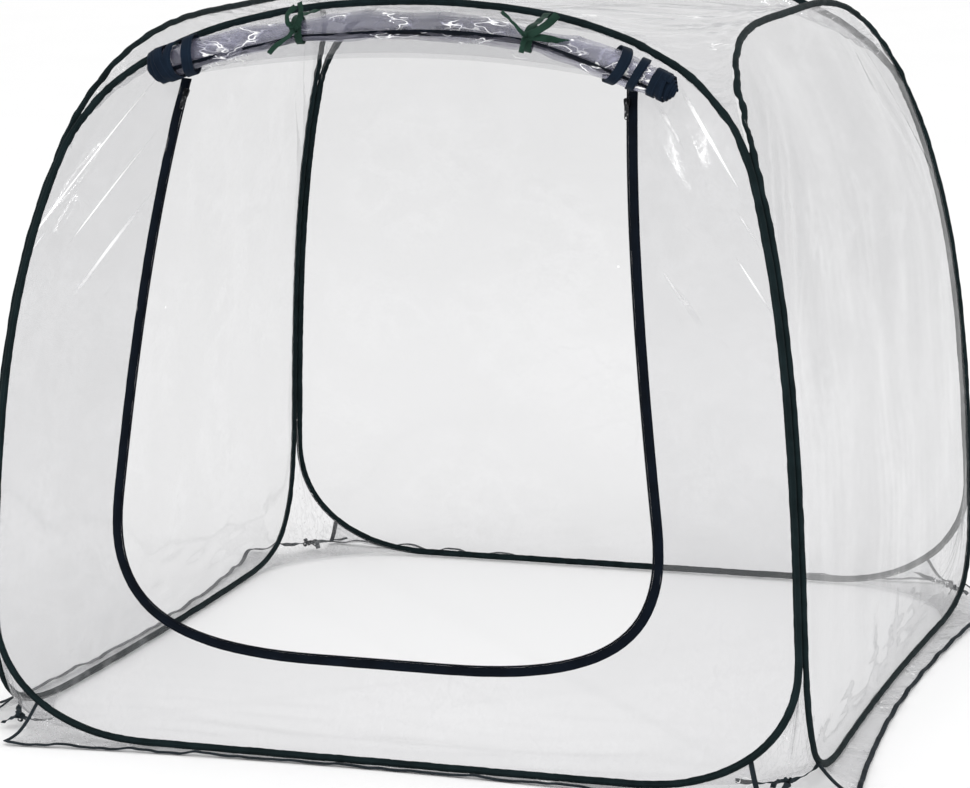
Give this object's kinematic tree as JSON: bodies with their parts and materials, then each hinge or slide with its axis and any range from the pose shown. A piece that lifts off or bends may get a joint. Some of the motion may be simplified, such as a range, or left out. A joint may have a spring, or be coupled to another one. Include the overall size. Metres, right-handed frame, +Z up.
{
  "type": "pop up greenhouse",
  "caption": "Square pop-up mini greenhouse: sprung hoops in fabric sleeves carry clear film walls, a film roof, ground skirts and a zipped doorway with a rolled, tied door.",
  "frame": {"origin": "on the ground under the middle of the greenhouse", "axes": "+Z up, -Y out through the doorway, +X to the right of someone facing the doorway"},
  "size_m": [1.3936, 1.3717, 1.0955],
  "materials": {
    "clear_film": "clear soft PVC film with a gloss",
    "sleeve_fabric": "woven polyester binding tape",
    "zip_tape": "woven zip tape",
    "zip_coil": "nylon coil",
    "tie_ribbon": "woven ribbon",
    "slider_metal": "black painted die casting",
    "hoop_steel": "flat spring steel"
  },
  "bodies": {
    "front_wall": {"front_hoop": "hoop_steel", "front_hoop_ferrule": "hoop_steel", "front_sleeve": "sleeve_fabric", "front_film": "clear_film", "corner_seam_front_right": "sleeve_fabric", "corner_gusset_front_right": "clear_film", "corner_tie_front_right": "sleeve_fabric", "corner_seam_front_left": "sleeve_fabric", "corner_gusset_front_left": "clear_film", "corner_tie_front_left": "sleeve_fabric", "roof_film": "clear_film", "door_zip_tape": "zip_tape", "door_zip_coil": "zip_coil", "door_film": "clear_film", "door_tie_left": "tie_ribbon", "door_tie_right": "tie_ribbon"},
    "right_wall": {"right_hoop": "hoop_steel", "right_hoop_ferrule": "hoop_steel", "right_sleeve": "sleeve_fabric", "right_film": "clear_film", "corner_seam_back_right": "sleeve_fabric", "corner_gusset_back_right": "clear_film", "corner_tie_back_right": "sleeve_fabric"},
    "back_wall": {"back_hoop": "hoop_steel", "back_hoop_ferrule": "hoop_steel", "back_sleeve": "sleeve_fabric", "back_film": "clear_film"},
    "left_wall": {"left_hoop": "hoop_steel", "left_hoop_ferrule": "hoop_steel", "left_sleeve": "sleeve_fabric", "left_film": "clear_film", "corner_seam_back_left": "sleeve_fabric", "corner_gusset_back_left": "clear_film", "corner_tie_back_left": "sleeve_fabric"},
    "front_skirt_flap": {"front_skirt": "clear_film", "front_skirt_binding": "sleeve_fabric"},
    "right_skirt_flap": {"right_skirt": "clear_film", "right_skirt_binding": "sleeve_fabric"},
    "back_skirt_flap": {"back_skirt": "clear_film", "back_skirt_binding": "sleeve_fabric"},
    "left_skirt_flap": {"left_skirt": "clear_film", "left_skirt_binding": "sleeve_fabric"},
    "door_roll_up": {"door_roll": "clear_film", "door_edge_wrap_left": "zip_tape", "door_edge_wrap_right": "zip_tape"},
    "slider_left": {"zip_slider_left": "slider_metal"},
    "pull_left": {"zip_pull_left": "slider_metal"},
    "slider_right": {"zip_slider_right": "slider_metal"},
    "pull_right": {"zip_pull_right": "slider_metal"}
  },
  "joints": [
    {"name": "fold", "type": "hinge", "parent": "front_wall", "child": "right_wall", "pos_m": [0.534, -0.534, 0], "axis": [-0.03, 0.03, 0.9991], "range_deg": [0, 35], "deforming": ["roof_film", "corner_seam_front_right", "corner_gusset_front_right", "corner_tie_front_right"]},
    {"name": "fold_left", "type": "hinge", "parent": "front_wall", "child": "left_wall", "pos_m": [-0.624, -0.624, 0], "axis": [0.03, 0.03, 0.9991], "range_deg": [0, 35], "deforming": ["corner_seam_front_left", "corner_gusset_front_left", "corner_tie_front_left", "corner_seam_back_left", "corner_gusset_back_left", "corner_tie_back_left"]},
    {"name": "fold_back", "type": "hinge", "parent": "right_wall", "child": "back_wall", "pos_m": [0.624, 0.624, 0], "axis": [-0.03, -0.03, 0.9991], "range_deg": [-35, 0], "deforming": ["corner_seam_back_right", "corner_gusset_back_right", "corner_tie_back_right"]},
    {"name": "door_drop", "type": "hinge", "parent": "front_wall", "child": "door_roll_up", "pos_m": [0, 0.982, 0.312], "axis": [1, 0, 0], "range_deg": [0, 31], "deforming": ["door_film", "door_tie_left", "door_tie_right"]},
    {"name": "zip_left", "type": "hinge", "parent": "front_wall", "child": "slider_left", "pos_m": [-0.40304, 0.8485, 0.37553], "axis": [0.9932, 0, -0.1161], "range_deg": [0, 22.2]},
    {"name": "zip_right", "type": "hinge", "parent": "front_wall", "child": "slider_right", "pos_m": [0.40304, 0.8485, 0.37553], "axis": [0.9932, 0, 0.1161], "range_deg": [0, 22.2]},
    {"name": "pull_left", "type": "hinge", "parent": "slider_left", "child": "pull_left", "pos_m": [-0.33517, -0.50072, 0.95881], "axis": [-0.9932, 0.0486, 0.1054], "range_deg": [0, 120]},
    {"name": "pull_right", "type": "hinge", "parent": "slider_right", "child": "pull_right", "pos_m": [0.33517, -0.50072, 0.95881], "axis": [-0.9932, -0.0486, -0.1054], "range_deg": [0, 120]},
    {"name": "front_skirt_lift", "type": "hinge", "parent": "front_wall", "child": "front_skirt_flap", "pos_m": [0, -0.638, 0.0005], "axis": [-1, 0, 0], "range_deg": [0, 90]},
    {"name": "right_skirt_lift", "type": "hinge", "parent": "right_wall", "child": "right_skirt_flap", "pos_m": [0.638, 0, 0.0005], "axis": [0, -1, 0], "range_deg": [0, 90]},
    {"name": "back_skirt_lift", "type": "hinge", "parent": "back_wall", "child": "back_skirt_flap", "pos_m": [0, 0.638, 0.0005], "axis": [1, 0, 0], "range_deg": [0, 90]},
    {"name": "left_skirt_lift", "type": "hinge", "parent": "left_wall", "child": "left_skirt_flap", "pos_m": [-0.638, 0, 0.0005], "axis": [0, 1, 0], "range_deg": [0, 90]}
  ],
  "couplings": [
    {"joint": "fold_left", "follows": "fold", "ratio": 1},
    {"joint": "fold_back", "follows": "fold", "ratio": -1}
  ]
}
